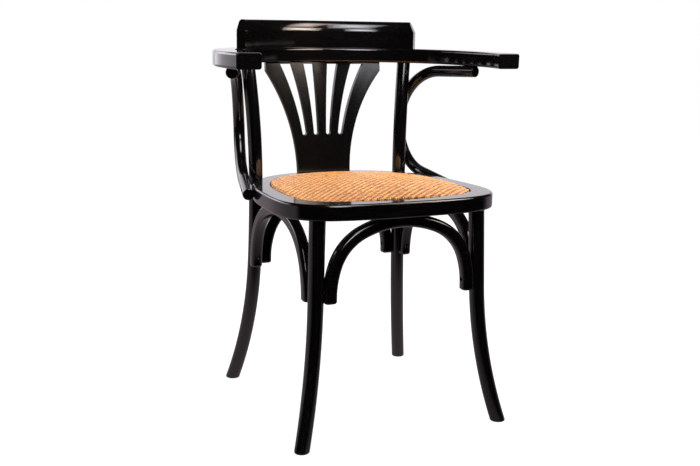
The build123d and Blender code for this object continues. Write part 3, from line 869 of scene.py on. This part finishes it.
@dataclass(frozen=True)
class Camera:
    """The photographer's place and lens: turned about the upright, tilted down and rolled a little."""

    place: Triple = (-0.80886, -1.80304, 0.74563)
    turn: float = math.radians(-23.713)
    tilt: float = math.radians(11.246)
    roll: float = math.radians(0.644)
    focal_pixels: float = 980.0
    image_width: float = 700.0
    sensor: float = 36.0

    def build(self) -> None:
        """Works out the camera's axes from its turn, tilt and roll, and stands it in its place."""
        forward = np.array([
            -math.sin(self.turn) * math.cos(self.tilt),
            math.cos(self.turn) * math.cos(self.tilt),
            -math.sin(self.tilt),
        ])
        level = np.array([math.cos(self.turn), math.sin(self.turn), 0.0])
        upright = np.cross(level, forward)
        right = math.cos(self.roll) * level + math.sin(self.roll) * upright
        up = math.cos(self.roll) * upright - math.sin(self.roll) * level
        data = bpy.data.cameras.new("camera")
        data.sensor_fit = "HORIZONTAL"
        data.sensor_width = self.sensor
        data.lens = self.focal_pixels * self.sensor / self.image_width
        camera = into_scene("camera", data)
        camera.matrix_world = axes_matrix(right, up, -forward, np.array(self.place))
        bpy.context.scene.camera = camera


@dataclass(frozen=True)
class Studio:
    """White floor and surround, which gloss sees only behind the chair, and soft boxes.

    The view is the level direction in which the photographer looks, across and backward. A span is where
    white begins and where it is full: of the surround along the view, of its upper edge, and of the floor.
    """

    aim: Triple = (0.0, 0.0, 0.45)
    view: tuple[float, float] = (0.4, 0.916)
    sky: float = 0.55
    gloss_dark: float = 0.008
    gloss_white: float = 0.98
    gloss_tint: Colour = (0.98, 0.94, 1.0, 1.0)
    surround_span: Span = (0.66, 0.94)
    upper_edge_span: Span = (0.35, 0.75)
    floor_size: float = 14.0
    floor_span: Span = (-0.8, 0.2)
    floor_white: float = 0.86
    floor_gloss: float = 0.43
    floor_tint: Colour = (1.0, 0.85, 0.91, 1.0)
    floor_grey: Colour = (0.25, 0.25, 0.25, 1.0)
    feather: int = 4
    feather_gap: float = 0.01
    overhead: float = 0.99
    lamps: tuple[Lamp, ...] = (
        Lamp("key", (-1.5, -1.7, 2.3), 0.8, 0.8, 32.0, False),
        Lamp("fill", (1.5, -1.5, 2.1), 0.8, 0.8, 20.0, False),
        Lamp("top", (0.1, 0.2, 2.6), 1.5, 1.5, 74.0, False),
        Lamp("window", (0.06, -2.0, 2.46), 1.6, 1.8, 86.0, True, (0.97, 0.95, 1.0)),
        Lamp("warm_wall", (1.38, -1.43, 2.46), 1.1, 1.8, 58.0, True, (1.0, 0.8, 0.72)),
        Lamp("side_panel", (-1.6, 1.86, 1.24), 3.2, 1.4, 54.0, True, (0.98, 0.93, 1.0)),
        Lamp("low_strip", (-0.3, -2.3, 1.3), 1.0, 0.5, 19.0, True, (0.95, 0.97, 1.0)),
        Lamp("warm_strip", (1.35, -1.55, 1.26), 1.2, 0.5, 32.0, True, (1.0, 0.84, 0.72)),
    )

    def world(self) -> None:
        """White to the camera; to gloss, white behind the chair and dark before it; even light otherwise."""
        world = bpy.data.worlds.new("surround")
        bpy.context.scene.world = world
        world.use_nodes = True
        graph = Graph(world.node_tree)
        across, backward, upward = graph.axes("Generated")
        onward = across * self.view[0] + backward * self.view[1]
        below_edge = 1.0 - graph.step(upward, self.upper_edge_span)
        behind = graph.step(onward, self.surround_span) * below_edge
        camera, glossy, through = graph.rays()
        plain = 1.0 - camera - glossy - through
        in_gloss = glossy * (self.gloss_dark + behind * self.gloss_white)
        strength = camera + through + in_gloss + plain * self.sky
        colour = graph.mix(glossy, WHITE, self.gloss_tint)
        light = graph.out("ShaderNodeBackground", 0, None, {"Color": colour, "Strength": strength})
        graph.node("ShaderNodeOutputWorld", None, {"Surface": light})

    def floor(self) -> None:
        """White floor: bright to the camera and to gloss behind the chair, under the chair's shadow."""
        half = self.floor_size / 2
        mesh = bpy.data.meshes.new("floor")
        corners = [(-half, -half, 0.0), (half, -half, 0.0), (half, half, 0.0), (-half, half, 0.0)]
        mesh.from_pydata(corners, [], [(0, 1, 2, 3)])
        material, graph = new_material("floor_white")
        _, backward, _ = graph.axes("Object")
        behind = graph.step(backward, self.floor_span)
        camera, glossy, through = graph.rays()
        glow = (camera + through + glossy * behind * self.floor_gloss) * self.floor_white
        colour = graph.mix(glow, BLACK, graph.mix(glossy, WHITE, self.floor_tint))
        matt = graph.out("ShaderNodeBsdfDiffuse", 0, None, {"Color": self.floor_grey})
        lit = graph.out("ShaderNodeEmission", 0, None, {"Color": colour})
        both = graph.out("ShaderNodeAddShader", 0, None, {0: matt, 1: lit})
        seen = graph.out("ShaderNodeMixShader", 0, None, {0: glossy, 1: both, 2: lit})
        graph.node("ShaderNodeOutputMaterial", None, {"Surface": seen})
        mesh.materials.append(material)
        floor = into_scene("floor", mesh)

    def hang(self, lamp: Lamp) -> None:
        """Hangs a soft box; one that shows in gloss is nested boxes, so its reflection fades to the edges.

        Args:
            lamp: the soft box at its full size and power.
        """
        steps = self.feather if lamp.in_gloss else 1
        for step in range(1, steps + 1):
            share = step / steps
            nested = replace(
                lamp, name=f"{lamp.name}_{step}", width=lamp.width * share, height=lamp.height * share,
                watts=lamp.watts * share**2 / steps,
            )
            self.light(nested, (steps - step) * self.feather_gap)

    def light(self, lamp: Lamp, forward: float) -> None:
        """Adds one area lamp, turned to the chair.

        Args:
            lamp: the lamp.
            forward: how far it is moved from its place towards the chair.
        """
        data = bpy.data.lights.new(lamp.name, "AREA")
        data.shape = "RECTANGLE"
        data.size, data.size_y = lamp.width, lamp.height
        data.energy = lamp.watts
        data.color = lamp.colour
        box = into_scene(lamp.name, data)
        back = np.array(lamp.place) - np.array(self.aim)
        back = back / np.linalg.norm(back)
        upright = [0.0, 1.0, 0.0] if abs(back[2]) > self.overhead else [0.0, 0.0, 1.0]
        right = np.cross(upright, back)
        right = right / np.linalg.norm(right)
        place = np.array(lamp.place) - back * forward
        box.matrix_world = axes_matrix(right, np.cross(back, right), back, place)
        box.visible_camera = False
        box.visible_glossy = lamp.in_gloss
        box.visible_diffuse = not lamp.in_gloss

    def build(self) -> None:
        """Sets the surround, the floor and the lamps."""
        bpy.context.scene.view_settings.view_transform = "Standard"
        self.world()
        self.floor()
        for lamp in self.lamps:
            self.hang(lamp)


def main() -> None:
    """Dresses the frame, weaves the seat and sets the studio."""
    logging.basicConfig(level=logging.INFO, format="%(name)s %(message)s")
    ring_low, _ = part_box("seat_ring")
    TimberFrame().dress()
    WovenSeat(SeatOutline(ring_low.y + SeatOutline.front_reach)).build()
    Camera().build()
    Studio().build()


if __name__ == "__main__":
    main()
